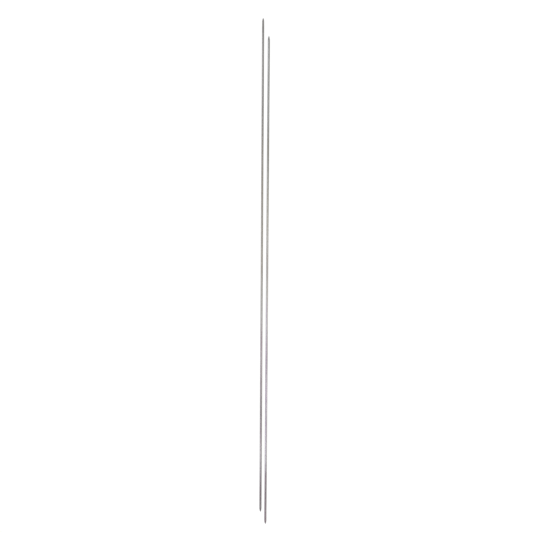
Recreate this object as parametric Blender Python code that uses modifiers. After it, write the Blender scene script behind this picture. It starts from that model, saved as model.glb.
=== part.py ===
"""A pair of straight steel knitting needles, lying side by side on a flat surface.

Each needle is one length of thin round steel wire, ground to a blunt point at both ends, with no
knob. The two are loose: nothing joins them.

Metres, +Z up. The needles lie along Y on the plane Z = 0, and the origin is the middle of that plane
under the pair. The left needle is exactly parallel to Y. The right one is set back towards -Y, and
leans very slightly away from the left one at its +Y end.
"""

import bpy
from math import cos, pi, radians, sin
from mathutils import Matrix, Vector

# The wire and its points. The right needle's +Y point is ground longer than the other three.
WIRE_DIAMETER = 0.0015
POINT_LENGTH = 0.0029
LONG_POINT_LENGTH = 0.0036
TIP_DIAMETER = 0.00016

# The grinding has thinned the wire a little next to the left needle's +Y point. The two lengths are
# those of the thin stretch, from the tip, and of the widening after it.
NECK_DIAMETER = 0.0014
NECK_LENGTH = 0.0048
NECK_BLEND = 0.003

# The two needles
LEFT_LENGTH = 0.3556
RIGHT_LENGTH = 0.3515
AXIS_GAP = 0.0039
RIGHT_SET_BACK = 0.0108
RIGHT_LEAN = radians(0.098)

# How finely the surface is divided
SIDES = 24
POINT_RINGS = 7
MERGE_DISTANCE = 0.00001

# Bright drawn steel: colour and roughness of each needle
LEFT_STEEL = ((0.53, 0.53, 0.51), 0.27)
RIGHT_STEEL = ((0.62, 0.62, 0.61), 0.25)

COLLECTION_NAME = "knitting_needles"

AXIS_HEIGHT = WIRE_DIAMETER / 2
# The wire's flats touch its true circle, so it measures its full gauge from flat to flat.
CORNER_SCALE = 1.0 / cos(pi / SIDES)


def clear_scene():
    """Remove every object that is already in the file."""
    for thing in list(bpy.data.objects):
        bpy.data.objects.remove(thing, do_unlink=True)


def make_steel(name, colour, roughness):
    """A bright drawn steel."""
    material = bpy.data.materials.new(name)
    material.use_nodes = True
    shader = material.node_tree.nodes["Principled BSDF"]
    shader.inputs["Base Color"].default_value = (*colour, 1.0)
    shader.inputs["Metallic"].default_value = 1.0
    shader.inputs["Roughness"].default_value = roughness
    return material


def point_rings(point_length, shank_diameter):
    """(distance from the tip, radius) of each ring of one point, from its tip to the shank.

    The point's side is a parabola that meets the shank without a corner, and its tip is a little blunt.
    """
    blunt = TIP_DIAMETER / 2
    shank = shank_diameter / 2
    rings = []
    for ring in range(POINT_RINGS + 1):
        share = ring / POINT_RINGS
        rings.append((point_length * share, blunt + (shank - blunt) * (1.0 - (1.0 - share) ** 2)))
    return rings


def needle_profile(length, upper_point_length, neck_diameter):
    """(height, radius) pairs down the needle's outer side, from its upper tip to its lower one.

    neck_diameter is the wire's diameter next to the upper point. It widens to the full wire after
    NECK_LENGTH, over NECK_BLEND.
    """
    half = length / 2
    upper_rings = point_rings(upper_point_length, neck_diameter)
    lower_rings = point_rings(POINT_LENGTH, WIRE_DIAMETER)
    upper_point = [(half - along, radius) for along, radius in upper_rings]
    lower_point = [(along - half, radius) for along, radius in lower_rings]
    neck = []
    if neck_diameter < WIRE_DIAMETER:
        neck_end = half - NECK_LENGTH
        neck = [(neck_end, neck_diameter / 2), (neck_end - NECK_BLEND, WIRE_DIAMETER / 2)]
    return upper_point + neck + lower_point[::-1]


def profile_mesh(name, profile):
    """A mesh that holds only the profile's edges, at +X, and closes on the axis at both tips."""
    corners = [(radius * CORNER_SCALE, 0.0, height) for height, radius in profile]
    upper_tip = (0.0, 0.0, profile[0][0])
    lower_tip = (0.0, 0.0, profile[-1][0])
    points = [upper_tip, *corners, lower_tip]
    edges = [(i, i + 1) for i in range(len(points) - 1)]
    mesh = bpy.data.meshes.new(name)
    mesh.from_pydata(points, edges, [])
    return mesh


def make_needle(name, profile, middle, lean, steel, collection):
    """One needle: its profile turned about its own axis, then laid down along Y with its middle there.

    It is turned half a side about its axis, so that one of its flats faces straight down.
    """
    mesh = profile_mesh(name, profile)
    mesh.materials.append(make_steel(f"{name}_steel", *steel))
    needle = bpy.data.objects.new(name, mesh)
    collection.objects.link(needle)
    screw = needle.modifiers.new("turned", "SCREW")
    screw.axis = "Z"
    screw.steps = SIDES
    screw.render_steps = SIDES
    screw.use_merge_vertices = True
    screw.merge_threshold = MERGE_DISTANCE
    screw.use_smooth_shade = True
    swing = Matrix.Rotation(-lean, 4, "Z")
    lie_down = Matrix.Rotation(-pi / 2, 4, "X")
    half_side = Matrix.Rotation(pi / SIDES, 4, "Z")
    needle.matrix_world = Matrix.Translation(middle) @ swing @ lie_down @ half_side


def pair_middle():
    """Middle of the pair's footprint, seen from the left needle's own middle."""
    radius = WIRE_DIAMETER / 2
    right_half = RIGHT_LENGTH / 2
    right_shoulder = (right_half - LONG_POINT_LENGTH) * sin(RIGHT_LEAN)
    right_side = AXIS_GAP + right_shoulder + radius * cos(RIGHT_LEAN)
    far_end = LEFT_LENGTH / 2
    near_end = -RIGHT_SET_BACK - right_half * cos(RIGHT_LEAN)
    return Vector(((right_side - radius) / 2, (far_end + near_end) / 2, 0.0))


def build():
    """Make the pair in a collection of its own."""
    clear_scene()
    collection = bpy.data.collections.new(COLLECTION_NAME)
    bpy.context.scene.collection.children.link(collection)
    left = Vector((0.0, 0.0, AXIS_HEIGHT)) - pair_middle()
    right = left + Vector((AXIS_GAP, -RIGHT_SET_BACK, 0.0))
    left_profile = needle_profile(LEFT_LENGTH, POINT_LENGTH, NECK_DIAMETER)
    right_profile = needle_profile(RIGHT_LENGTH, LONG_POINT_LENGTH, WIRE_DIAMETER)
    make_needle("needle_left", left_profile, left, 0.0, LEFT_STEEL, collection)
    make_needle("needle_right", right_profile, right, RIGHT_LEAN, RIGHT_STEEL, collection)


build()
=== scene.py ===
"""The looks of a pair of straight steel knitting needles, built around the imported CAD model.

Each needle is one fine turned mesh in the place of its CAD solid: a drawn wire with ground points, the
small waves and dents of used wire, and its own tarnish. Metres, +Z up, the needles along Y. Every
needle is modelled along its own local Y, from its near tip to its far tip, so its material can use
object coordinates.
"""

from collections import namedtuple
from math import cos, exp, pi, radians, sin, sqrt, tau
from random import Random

import bpy
import bmesh
from mathutils import Matrix, Vector


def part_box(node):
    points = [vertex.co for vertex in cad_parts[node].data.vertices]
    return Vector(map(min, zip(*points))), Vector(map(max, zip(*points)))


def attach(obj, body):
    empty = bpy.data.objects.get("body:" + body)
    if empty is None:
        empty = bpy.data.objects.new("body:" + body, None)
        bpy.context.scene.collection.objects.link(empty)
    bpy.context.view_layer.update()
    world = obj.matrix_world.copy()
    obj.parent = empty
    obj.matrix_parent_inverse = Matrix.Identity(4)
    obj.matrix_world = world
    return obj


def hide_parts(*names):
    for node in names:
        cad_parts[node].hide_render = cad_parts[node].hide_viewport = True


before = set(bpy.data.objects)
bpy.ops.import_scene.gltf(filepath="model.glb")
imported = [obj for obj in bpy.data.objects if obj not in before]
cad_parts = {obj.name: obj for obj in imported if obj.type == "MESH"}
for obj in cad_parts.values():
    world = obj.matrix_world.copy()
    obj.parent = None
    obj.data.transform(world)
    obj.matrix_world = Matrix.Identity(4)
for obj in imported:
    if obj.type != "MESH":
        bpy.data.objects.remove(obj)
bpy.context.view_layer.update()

# ---------------------------------------------------------------- sizes

# How far in from its end a CAD needle's tip corners are found
TIP_REACH = 0.00002

# The ground points. The right needle's far point is the long one.
POINT_LENGTH = 0.0029
LONG_POINT_LENGTH = 0.0036
NOSE_RADIUS = 0.00008
RING_PITCH = 0.00013
RING_DEPTH = 0.0000018
RING_FADE = 0.0005

# The left needle is a little thinner next to its far point
NECK_THINNING = 0.0667
NECK_LENGTH = 0.0048
NECK_BLEND = 0.003

# How the mesh is divided
SIDES = 40
NOSE_STEPS = 8
POINT_STEP = 0.000026
SHANK_STEP = 0.0005

# What use has done to the wire. It bows sideways, in half a wave and a lesser whole one. The waves of
# its gauge are (share of the radius, length). A dent is a small dip: its depth, half length and half
# angle are drawn between two limits, and it is nothing beyond DENT_REACH half lengths.
BOW = 0.00002
WHOLE_WAVE_SHARE = 0.4
GAUGE_WAVES = ((0.0021, 0.0475), (0.0013, 0.0122), (0.0009, 0.0043))
DENTS = 16
DENT_DEPTH = (0.000003, 0.00001)
DENT_LENGTH = (0.0006, 0.0018)
DENT_SPREAD = (0.18, 0.42)
DENT_REACH = 3

# ---------------------------------------------------------------- steel, its tarnish and its painted sheen

# The steel's hue, which its brightness multiplies, and the shades that its grain multiplies it by
LEFT_HUE = (1.0, 0.99, 0.96)
RIGHT_HUE = (0.985, 1.0, 0.975)
LINE_SHADE = (0.72, 0.72, 0.73)
PATCH_SHADE = (0.93, 0.92, 0.91)

# Tints of the layers of tarnish, which multiply the steel's own colour. The violet and the straw also
# stand
# for painted tints of the light: the cool light from -X on the -X flank, the warm light from +X on the
# +X flank.
STRAW_TARNISH_AND_WARM_SHEEN = (1.0, 0.97, 0.90)
VIOLET_TARNISH_AND_COOL_SHEEN = (0.94, 0.81, 1.0)
RUST_FILM = (1.0, 0.88, 0.89)

# Colours of the specks and scratches, which cover the steel
RUST = (0.26, 0.17, 0.12)
BARE_STEEL = (0.86, 0.86, 0.85)

# The grain: noise cycles per metre across, along and across the needle
DRAW_LINES = (6500, 22, 6500)
TURNED_LINES = (500, 7000, 500)
PATCHES = (300, 45, 300)
PITS = (5200, 3000, 5200)
SCRATCHES = (9000, 260, 9000)

# The values of each noise, from 0 to 1, at which its grain starts to show and shows in full
LINES_SHOW = (0.40, 0.64)
PATCHES_SHOW = (0.35, 0.70)
PITS_SHOW = (0.54, 0.68)
SCRATCHES_SHOW = (0.66, 0.72)

# Pits have rust in them only in patches, which start and are full at these values of the patches' noise
RUSTY_PATCHES = (0.42, 0.60)

# The shank's grain gives way to the point's over this much of the shank
GRAIN_BLEND = 0.0006

# Rust specks are few everywhere, and thicken over this last share of the length to the near tip
RUST_END = 0.15
SPECKS_EVERYWHERE = 0.15

# A film is thinner in some patches: two values of the patches' noise and the thickness at each
FILM_PATCHINESS = (0.35, 0.65, 0.6, 1.2)

# Roughness goes with the patches, and the lines add to it: two values of the noise and the roughness at
# each. The specks and the rusty end add these amounts.
PATCH_ROUGHNESS = (0.30, 0.75, 0.21, 0.28)
LINE_ROUGHNESS = (0.35, 0.65, 0.0, 0.12)
SPECK_ROUGHNESS = 0.35
RUSTY_END_ROUGHNESS = 0.10

# Relief: its height, and how deep specks and scratches are beside the lines
RELIEF_HEIGHT = 0.000004
SPECK_DEPTH = 0.8
SCRATCH_DEPTH = 0.5

# The flanks, as the places across the needle, from -1 to 1, where a film is nothing and where it is
# full.
# The -X flank takes a painted tint of the cool light from -X, the +X flank one of the warm light from
# +X.
ALL_ROUND = (-2.0, -1.0)
COOL_LIT_MINUS_X_SIDE = (0.8, 0.1)
WARM_LIT_PLUS_X_SIDE = (0.0, 0.7)

# One film: its tint, its (start, end, fade) along the needle, its flank and its strength. All round it
# is tarnish; on one flank only it is partly tarnish and partly a painted tint of the light from that
# side.
Film = namedtuple("Film", "tint zone flank strength")

LEFT_FILMS_AND_SHEENS = (
    Film(STRAW_TARNISH_AND_WARM_SHEEN, (0.52, 0.72, 0.12), ALL_ROUND, 1.0),
    # Partly violet tarnish and partly a painted tint of the cool light from -X, on the -X flank
    Film(VIOLET_TARNISH_AND_COOL_SHEEN, (0.05, 0.33, 0.08), COOL_LIT_MINUS_X_SIDE, 0.6),
    Film(RUST_FILM, (0.15, 0.35, 0.06), ALL_ROUND, 0.35),
    Film(RUST_FILM, (0.0, 0.03, 0.05), ALL_ROUND, 0.4),
)
RIGHT_FILMS_AND_SHEENS = (
    Film(STRAW_TARNISH_AND_WARM_SHEEN, (0.62, 0.74, 0.10), ALL_ROUND, 1.0),
    # The next two are partly tarnish and partly painted tints of the light on one flank: warm from +X,
    # cool from -X
    Film(STRAW_TARNISH_AND_WARM_SHEEN, (0.33, 0.54, 0.08), WARM_LIT_PLUS_X_SIDE, 0.8),
    Film(VIOLET_TARNISH_AND_COOL_SHEEN, (0.0, 0.42, 0.06), COOL_LIT_MINUS_X_SIDE, 0.85),
    Film(VIOLET_TARNISH_AND_COOL_SHEEN, (0.16, 0.32, 0.05), ALL_ROUND, 0.3),
    Film(RUST_FILM, (0.50, 0.57, 0.06), ALL_ROUND, 0.3),
    Film(RUST_FILM, (0.0, 0.08, 0.04), ALL_ROUND, 1.0),
)

# The steel's brightness, as (place, brightness) stops from the near tip, 0, to the far tip, 1: partly
# the steel's own tone and partly painted sheen, the reflection of the soft lights that brightens
# stretches of the needles. Both needles are darkest not far from the near tip, and the right one is
# brightest short of its middle.
LEFT_GREYS_AND_SHEEN = (
    (0.02, 0.40), (0.12, 0.58), (0.20, 0.41), (0.33, 0.59), (0.45, 0.62), (0.60, 0.55),
    (0.80, 0.47), (0.92, 0.57), (0.98, 0.52),
)
RIGHT_GREYS_AND_SHEEN = (
    (0.02, 0.48), (0.07, 0.42), (0.16, 0.83), (0.22, 0.76), (0.27, 0.80), (0.31, 0.63),
    (0.42, 0.88), (0.53, 0.74), (0.65, 0.67), (0.75, 0.50), (0.85, 0.62), (0.97, 0.60),
)

# Each needle's draw of dents and waves, and how far its grain is moved along it
LEFT_SEED = 11
RIGHT_SEED = 23

# ---------------------------------------------------------------- studio and camera

# The floor and the backdrop. The floor gives most of its own light, so it hardly takes a shadow.
STUDIO_RADIUS = 3.0
STUDIO_SEGMENTS = 96
BACKDROP_RINGS = 48
BACKDROP_FOOT = -0.05
FLOOR_WHITE = (0.12, 0.12, 0.12)
FLOOR_GLOW = 0.965
BACKDROP_GLOW = 1.05
BLACK = (0.0, 0.0, 0.0)

# The light all round, as (height, brightness) from straight down, 0, to straight up, 1, and its tints
# towards -X, in the middle and towards +X
SKY = ((0.0, 0.40), (0.5, 0.46), (0.85, 0.42), (1.0, 0.60))
SKY_TINTS = ((0.0, (1.0, 0.97, 1.03)), (0.5, (1.0, 1.0, 1.0)), (1.0, (1.03, 1.0, 0.94)))

# The soft lights: place, (length along Y, width) and power
KEY_LIGHT = ((-0.80, -0.04, 0.95), (0.80, 0.80), 2.05)
FILL_LIGHT = ((0.80, -0.24, 0.95), (0.70, 0.80), 1.3)

# The camera looks straight down. Its place is told from the middle of the left needle.
LENS_MM = 100.0
SENSOR_MM = 36.0
VIEW_WIDTH = 0.38378
VIEW_RIGHT_OF_LEFT_NEEDLE = 0.00339
VIEW_SHORT_OF_ITS_MIDDLE = 0.001187
VIEW_TURN = radians(0.325)


# ---------------------------------------------------------------- the needles' shape

def tip_middles(node):
    """The middle of a CAD needle's near tip and of its far tip, from its end vertices."""
    corners = [v.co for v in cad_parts[node].data.vertices]
    low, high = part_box(node)
    near = [c for c in corners if c.y < low.y + TIP_REACH]
    far = [c for c in corners if c.y > high.y - TIP_REACH]
    return sum(near, Vector()) / len(near), sum(far, Vector()) / len(far)


def smooth_step(value):
    """0 below 0, 1 above 1, and a smooth rise between."""
    value = min(1.0, max(0.0, value))
    return value * value * (3 - 2 * value)


def quarter_circle(share):
    """The height of a quarter circle, 0 at 0 and 1 at 1 and beyond."""
    return sqrt(1.0 - (1.0 - min(1.0, share)) ** 2)


def point_radius(from_tip, point_length, radius):
    """The radius at a distance from a tip: a rounded nose on a parabola that runs into the shank."""
    share = min(1.0, from_tip / point_length)
    nose = NOSE_RADIUS * quarter_circle(from_tip / NOSE_RADIUS)
    return nose + (radius - NOSE_RADIUS) * (1.0 - (1.0 - share) ** 2)


def grinding(from_tip, point_length):
    """How deep the grinding rings cut into the point at a distance from its tip."""
    fade = smooth_step(from_tip / RING_FADE) * smooth_step((point_length - from_tip) / RING_FADE)
    return RING_DEPTH * fade * (0.5 - 0.5 * cos(tau * from_tip / RING_PITCH))


def neck_share(from_far_tip):
    """The share of the radius left next to the far point of a needle with a thinned neck."""
    return 1.0 - NECK_THINNING * (1.0 - smooth_step((from_far_tip - NECK_LENGTH) / NECK_BLEND))


def point_stations(point_length):
    """Distances from a tip at which a point has a ring: close together round the nose, then even."""
    nose = [NOSE_RADIUS * (1.0 - cos(step / NOSE_STEPS * pi / 2)) for step in range(1, NOSE_STEPS)]
    steps = round((point_length - NOSE_RADIUS) / POINT_STEP)
    side = [NOSE_RADIUS + (point_length - NOSE_RADIUS) * step / steps for step in range(steps + 1)]
    return nose + side


def stations(length, far_point):
    """Distances from the near tip at which the mesh has a ring: fine on the points, coarser between."""
    near = point_stations(POINT_LENGTH)
    far = [length - along for along in reversed(point_stations(far_point))]
    shank = far[0] - near[-1]
    spans = round(shank / SHANK_STEP)
    middle = [near[-1] + shank * step / spans for step in range(1, spans)]
    return near + middle + far


def make_dents(length, draw):
    """Small shallow dents of handling, as (along, around, depth, half length, half angle)."""
    dents = []
    for _ in range(DENTS):
        along = draw.uniform(2 * POINT_LENGTH, length - 2 * POINT_LENGTH)
        around = draw.uniform(0, tau)
        depth = draw.uniform(*DENT_DEPTH)
        dents.append((along, around, depth, draw.uniform(*DENT_LENGTH), draw.uniform(*DENT_SPREAD)))
    return dents


def dent_depth(dents, along, around):
    """How far the dents push the surface in at one place."""
    depth = 0.0
    for at, angle, deep, length, spread_angle in dents:
        if abs(along - at) < DENT_REACH * length:
            turn = (around - angle + pi) % tau - pi
            depth += deep * exp(-((along - at) / length) ** 2 - (turn / spread_angle) ** 2)
    return depth


def gauge_share(along, waves):
    """The share of the full radius that the waves of the wire's gauge leave at one place."""
    return 1.0 + sum(size * (sin(tau * along / pitch + phase) - 1) for size, pitch, phase in waves)


def close_skin(mesh, near_tip, rings, far_tip):
    """The faces between the two tips and the rings, each of SIDES corners."""
    for side in range(SIDES):
        after = (side + 1) % SIDES
        mesh.faces.new((near_tip, rings[0][after], rings[0][side]))
        mesh.faces.new((far_tip, rings[-1][side], rings[-1][after]))
        for ring, following in zip(rings, rings[1:]):
            mesh.faces.new((ring[side], ring[after], following[after], following[side]))
    bmesh.ops.recalc_face_normals(mesh, faces=mesh.faces)


def needle_mesh(name, length, radius, far_point, thin_neck, draw):
    """One needle's closed mesh along local Y, with its middle at the origin."""
    waves = [(size, pitch, draw.uniform(0, tau)) for size, pitch in GAUGE_WAVES]
    dents = make_dents(length, draw)
    bow_side = draw.uniform(-1, 1)
    mesh = bmesh.new()
    near_tip = mesh.verts.new((0, -length / 2, 0))
    rings = []
    for along in stations(length, far_point):
        from_tip = min(along, length - along)
        point_length = POINT_LENGTH if along < length / 2 else far_point
        gauge = gauge_share(along, waves)
        if thin_neck:
            gauge *= neck_share(length - along)
        smooth_radius = point_radius(from_tip, point_length, radius * gauge)
        ring_radius = smooth_radius - grinding(from_tip, point_length)
        half_wave = sin(pi * along / length) * bow_side
        bow = BOW * (half_wave + WHOLE_WAVE_SHARE * sin(tau * along / length))
        ring = []
        for side in range(SIDES):
            around = tau * side / SIDES
            reach = ring_radius - dent_depth(dents, along, around)
            corner = (bow + reach * cos(around), along - length / 2, reach * sin(around))
            ring.append(mesh.verts.new(corner))
        rings.append(ring)
    far_tip = mesh.verts.new((0, length / 2, 0))
    close_skin(mesh, near_tip, rings, far_tip)
    data = bpy.data.meshes.new(name)
    mesh.to_mesh(data)
    mesh.free()
    data.shade_smooth()
    return data


# ---------------------------------------------------------------- shader nodes

# Where a mix node has its two colours and their result. Their names don't tell them from its numbers.
FIRST_COLOUR = 6
SECOND_COLOUR = 7
MIXED_COLOUR = 2


def add_node(tree, kind, **settings):
    """A new node with some of its properties set."""
    node = tree.nodes.new(kind)
    for name, value in settings.items():
        setattr(node, name, value)
    return node


def maths(tree, operation, first, second, clamp=False):
    """The output of a math node on two sockets or numbers."""
    node = add_node(tree, "ShaderNodeMath", operation=operation, use_clamp=clamp)
    for socket, value in zip(node.inputs, (first, second)):
        if isinstance(value, (int, float)):
            socket.default_value = value
        else:
            tree.links.new(value, socket)
    return node.outputs[0]


def vector_maths(tree, operation, first, second):
    """The output of a vector math node on a socket and three numbers."""
    node = add_node(tree, "ShaderNodeVectorMath", operation=operation)
    tree.links.new(first, node.inputs[0])
    node.inputs[1].default_value = second
    return node.outputs[0]


def noise(tree, place, scale, detail=3.0, roughness=0.55):
    """A noise from 0 to 1, stretched differently along X, Y and Z: scale is its cycles per metre."""
    texture = add_node(tree, "ShaderNodeTexNoise")
    texture.inputs["Scale"].default_value = 1.0
    texture.inputs["Detail"].default_value = detail
    texture.inputs["Roughness"].default_value = roughness
    tree.links.new(vector_maths(tree, "MULTIPLY", place, scale), texture.inputs["Vector"])
    return texture.outputs["Fac"]


def spread(tree, value, low, high, to_low=0.0, to_high=1.0):
    """value from low to high, taken smoothly to to_low to to_high."""
    node = add_node(tree, "ShaderNodeMapRange", interpolation_type="SMOOTHSTEP")
    tree.links.new(value, node.inputs["Value"])
    for name, number in zip(("From Min", "From Max", "To Min", "To Max"), (low, high, to_low, to_high)):
        node.inputs[name].default_value = number
    return node.outputs["Result"]


def ramp(tree, value, stops):
    """A colour ramp with (place, colour) stops."""
    node = add_node(tree, "ShaderNodeValToRGB")
    elements = node.color_ramp.elements
    while len(elements) < len(stops):
        elements.new(1.0)
    for element, (place, colour) in zip(elements, stops):
        element.position = place
        element.color = (*colour, 1.0)
    node.color_ramp.interpolation = "EASE"
    tree.links.new(value, node.inputs["Fac"])
    return node.outputs["Color"]


def mixed(tree, share, first, second, blend="MIX"):
    """The mix of two colours. share is a socket or a number, first and second are sockets or colours."""
    node = add_node(tree, "ShaderNodeMix", data_type="RGBA", blend_type=blend)
    sockets = (node.inputs["Factor"], node.inputs[FIRST_COLOUR], node.inputs[SECOND_COLOUR])
    for socket, value in zip(sockets, (share, first, second)):
        if isinstance(value, tuple):
            socket.default_value = (*value, 1.0)
        elif isinstance(value, float):
            socket.default_value = value
        else:
            tree.links.new(value, socket)
    return node.outputs[MIXED_COLOUR]


def mixed_value(tree, share, first, second):
    """The mix of two numbers, all three from sockets."""
    node = add_node(tree, "ShaderNodeMix", data_type="FLOAT")
    for name, value in (("Factor", share), ("A", first), ("B", second)):
        tree.links.new(value, node.inputs[name])
    return node.outputs[0]


def split(tree, vector):
    """The X, Y and Z outputs of a vector."""
    parts = add_node(tree, "ShaderNodeSeparateXYZ")
    tree.links.new(vector, parts.inputs[0])
    return parts.outputs


# ---------------------------------------------------------------- steel

def band(tree, along, start, end, fade):
    """1 between two places along the needle, falling to 0 over fade outside them."""
    rise = spread(tree, along, start - fade, start)
    fall = spread(tree, along, end, end + fade, 1.0, 0.0)
    return maths(tree, "MULTIPLY", rise, fall)


def film_mask(tree, film, along, sideways, patches):
    """How thick one film is from place to place: tarnish, and on one flank partly a painted tint of
    light.
    """
    mask = maths(tree, "MULTIPLY", band(tree, along, *film.zone), film.strength)
    mask = maths(tree, "MULTIPLY", mask, spread(tree, sideways, *film.flank))
    return maths(tree, "MULTIPLY", mask, spread(tree, patches, *FILM_PATCHINESS), clamp=True)


def grain_lines(tree, place, from_middle, length):
    """The lines of the surface: drawn along the shank, turned around the points."""
    shoulder = length / 2 - POINT_LENGTH
    drawn = noise(tree, place, DRAW_LINES, detail=4.0, roughness=0.6)
    turned = noise(tree, place, TURNED_LINES, detail=2.0)
    return mixed_value(tree, spread(tree, from_middle, shoulder - GRAIN_BLEND, shoulder), drawn, turned)


def rust_specks(tree, place, patches, rusty_end):
    """Where the steel has small specks of rust: in some patches only, and most at the rusty end."""
    pits = noise(tree, place, PITS, detail=4.0, roughness=0.65)
    in_pits = spread(tree, pits, *PITS_SHOW)
    specks = maths(tree, "MULTIPLY", in_pits, spread(tree, patches, *RUSTY_PATCHES))
    return maths(tree, "MULTIPLY", specks, maths(tree, "ADD", SPECKS_EVERYWHERE, rusty_end), clamp=True)


def make_steel(name, length, radius, offset, hue, greys_and_sheen, films_and_sheens):
    """Drawn steel wire with ground points.

    The brightness stops, (place, brightness) from the near tip, 0, to the far tip, 1, all of one hue,
    are partly the steel's own tone and partly painted sheen of the soft lights. The tint layers are what
    tarnish has left on it; those on one flank only are partly painted tints of the coloured light from
    that side. offset moves the grain along the needle, so that no two needles have the same.
    """
    material = bpy.data.materials.new(name)
    material.use_nodes = True
    tree = material.node_tree
    shader = tree.nodes["Principled BSDF"]
    shader.inputs["Metallic"].default_value = 1.0

    place = add_node(tree, "ShaderNodeTexCoord").outputs["Object"]
    parts = split(tree, place)
    along = maths(tree, "ADD", maths(tree, "DIVIDE", parts["Y"], length), 0.5)
    sideways = maths(tree, "DIVIDE", parts["X"], radius)
    from_middle = maths(tree, "ABSOLUTE", parts["Y"], 0.0)
    rusty_end = spread(tree, along, RUST_END, 0.0)

    own_place = vector_maths(tree, "ADD", place, (0.0, offset, 0.0))
    lines = grain_lines(tree, own_place, from_middle, length)
    patches = noise(tree, own_place, PATCHES)
    scratches = spread(tree, noise(tree, own_place, SCRATCHES, detail=2.0), *SCRATCHES_SHOW)
    specks = rust_specks(tree, own_place, patches, rusty_end)

    # The brightness along the needle: partly the steel's own tone, partly painted sheen of the soft
    # lights
    colour = ramp(tree, along, [(at, [grey * part for part in hue]) for at, grey in greys_and_sheen])
    colour = mixed(tree, spread(tree, lines, *LINES_SHOW), colour, LINE_SHADE, "MULTIPLY")
    colour = mixed(tree, spread(tree, patches, *PATCHES_SHOW), colour, PATCH_SHADE, "MULTIPLY")
    # Tarnish layers; those on one flank only are partly painted tints of the coloured light from that
    # side
    for film in films_and_sheens:
        mask = film_mask(tree, film, along, sideways, patches)
        colour = mixed(tree, mask, colour, film.tint, "MULTIPLY")
    colour = mixed(tree, specks, colour, RUST)
    colour = mixed(tree, scratches, colour, BARE_STEEL)
    tree.links.new(colour, shader.inputs["Base Color"])

    dull = spread(tree, patches, *PATCH_ROUGHNESS)
    dull = maths(tree, "ADD", dull, spread(tree, lines, *LINE_ROUGHNESS))
    dull = maths(tree, "ADD", dull, maths(tree, "MULTIPLY", specks, SPECK_ROUGHNESS))
    dull = maths(tree, "ADD", dull, maths(tree, "MULTIPLY", rusty_end, RUSTY_END_ROUGHNESS))
    tree.links.new(dull, shader.inputs["Roughness"])

    height = maths(tree, "SUBTRACT", lines, maths(tree, "MULTIPLY", specks, SPECK_DEPTH))
    height = maths(tree, "SUBTRACT", height, maths(tree, "MULTIPLY", scratches, SCRATCH_DEPTH))
    bump = add_node(tree, "ShaderNodeBump")
    bump.inputs["Strength"].default_value = 1.0
    bump.inputs["Distance"].default_value = RELIEF_HEIGHT
    tree.links.new(height, bump.inputs["Height"])
    tree.links.new(bump.outputs["Normal"], shader.inputs["Normal"])
    return material


def make_needle(node, far_point, thin_neck, seed, hue, greys_and_sheen, films_and_sheens):
    """The fine needle that stands for one CAD needle, riding on that needle's body."""
    near, far = tip_middles(node)
    low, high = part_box(node)
    length = (far - near).length
    radius = (high.z - low.z) / 2
    name = f"{node}_wire"
    mesh = needle_mesh(name, length, radius, far_point, thin_neck, Random(seed))
    mesh.materials.append(make_steel(f"{node}_steel", length, radius, seed, hue, greys_and_sheen, films_and_sheens))
    needle = bpy.data.objects.new(name, mesh)
    bpy.context.scene.collection.objects.link(needle)
    swing = Vector((0, 1, 0)).rotation_difference((far - near).normalized()).to_matrix().to_4x4()
    needle.matrix_world = Matrix.Translation((near + far) / 2) @ swing
    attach(needle, node)
    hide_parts(node)


# ---------------------------------------------------------------- studio

def glowing_white(name, colour, glow):
    """A pale matt surface that also gives some light of its own, so that it stays white."""
    material = bpy.data.materials.new(name)
    material.use_nodes = True
    shader = material.node_tree.nodes["Principled BSDF"]
    shader.inputs["Base Color"].default_value = (*colour, 1.0)
    shader.inputs["Roughness"].default_value = 1.0
    shader.inputs["Specular IOR Level"].default_value = 0.0
    shader.inputs["Emission Color"].default_value = (1.0, 1.0, 1.0, 1.0)
    shader.inputs["Emission Strength"].default_value = glow
    return material


def link_mesh(name, mesh, material):
    """An object for a finished bmesh."""
    data = bpy.data.meshes.new(name)
    mesh.to_mesh(data)
    mesh.free()
    data.materials.append(material)
    thing = bpy.data.objects.new(name, data)
    bpy.context.scene.collection.objects.link(thing)
    return thing


def make_floor():
    """A plain white floor. The steel reflects the soft surroundings in its place."""
    mesh = bmesh.new()
    bmesh.ops.create_circle(mesh, cap_ends=True, segments=STUDIO_SEGMENTS, radius=STUDIO_RADIUS)
    floor = link_mesh("floor", mesh, glowing_white("floor_white", FLOOR_WHITE, FLOOR_GLOW))
    floor.visible_glossy = False


def make_backdrop():
    """A plain white dome behind low views, which neither lights the needles nor shades them."""
    mesh = bmesh.new()
    bmesh.ops.create_uvsphere(
        mesh, u_segments=STUDIO_SEGMENTS, v_segments=BACKDROP_RINGS, radius=STUDIO_RADIUS
    )
    bmesh.ops.bisect_plane(
        mesh,
        geom=mesh.verts[:] + mesh.edges[:] + mesh.faces[:],
        plane_co=(0, 0, BACKDROP_FOOT),
        plane_no=(0, 0, -1),
        clear_outer=True,
    )
    backdrop = link_mesh("backdrop", mesh, glowing_white("backdrop_white", BLACK, BACKDROP_GLOW))
    backdrop.visible_diffuse = False
    backdrop.visible_glossy = False
    backdrop.visible_shadow = False


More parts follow.
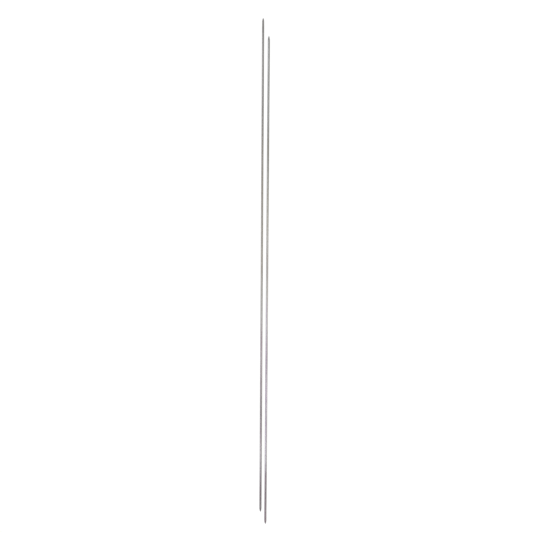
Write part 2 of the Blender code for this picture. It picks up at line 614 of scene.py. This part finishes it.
def make_surroundings():
    """The soft light all round: a grey studio, brightest overhead, warmer towards +X."""
    world = bpy.data.worlds.new("studio")
    world.use_nodes = True
    tree = world.node_tree
    direction = split(tree, add_node(tree, "ShaderNodeTexCoord").outputs["Generated"])
    height = maths(tree, "ADD", maths(tree, "MULTIPLY", direction["Z"], 0.5), 0.5)
    brightness = ramp(tree, height, [(at, (grey, grey, grey)) for at, grey in SKY])
    tint = ramp(tree, spread(tree, direction["X"], -1.0, 1.0), SKY_TINTS)
    tinted = mixed(tree, 1.0, brightness, tint, "MULTIPLY")
    tree.links.new(tinted, tree.nodes["Background"].inputs["Color"])
    bpy.context.scene.world = world


def make_softbox(name, place, size, power):
    """A soft rectangular lamp that faces the middle of the needles. size is along Y, then across."""
    lamp = bpy.data.lights.new(name, "AREA")
    lamp.shape = "RECTANGLE"
    lamp.size, lamp.size_y = size
    lamp.energy = power
    softbox = bpy.data.objects.new(name, lamp)
    bpy.context.scene.collection.objects.link(softbox)
    softbox.location = place
    softbox.rotation_euler = (-Vector(place)).to_track_quat("-Z", "Y").to_euler()


def make_camera():
    """The camera, straight above the needles."""
    low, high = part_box("needle_left")
    middle = (low + high) / 2
    data = bpy.data.cameras.new("camera")
    data.lens = LENS_MM
    data.sensor_width = SENSOR_MM
    camera = bpy.data.objects.new("camera", data)
    bpy.context.scene.collection.objects.link(camera)
    distance = VIEW_WIDTH * LENS_MM / SENSOR_MM
    camera.location = middle + Vector((VIEW_RIGHT_OF_LEFT_NEEDLE, -VIEW_SHORT_OF_ITS_MIDDLE, distance))
    camera.rotation_euler = (0, 0, VIEW_TURN)
    bpy.context.scene.camera = camera


# ---------------------------------------------------------------- the whole scene

make_needle(
    "needle_left",
    far_point=POINT_LENGTH,
    thin_neck=True,
    seed=LEFT_SEED,
    hue=LEFT_HUE,
    greys_and_sheen=LEFT_GREYS_AND_SHEEN,
    films_and_sheens=LEFT_FILMS_AND_SHEENS,
)
make_needle(
    "needle_right",
    far_point=LONG_POINT_LENGTH,
    thin_neck=False,
    seed=RIGHT_SEED,
    hue=RIGHT_HUE,
    greys_and_sheen=RIGHT_GREYS_AND_SHEEN,
    films_and_sheens=RIGHT_FILMS_AND_SHEENS,
)
make_floor()
make_backdrop()
make_surroundings()
make_softbox("key_light", *KEY_LIGHT)
make_softbox("fill_light", *FILL_LIGHT)
make_camera()
bpy.context.scene.view_settings.view_transform = "Standard"
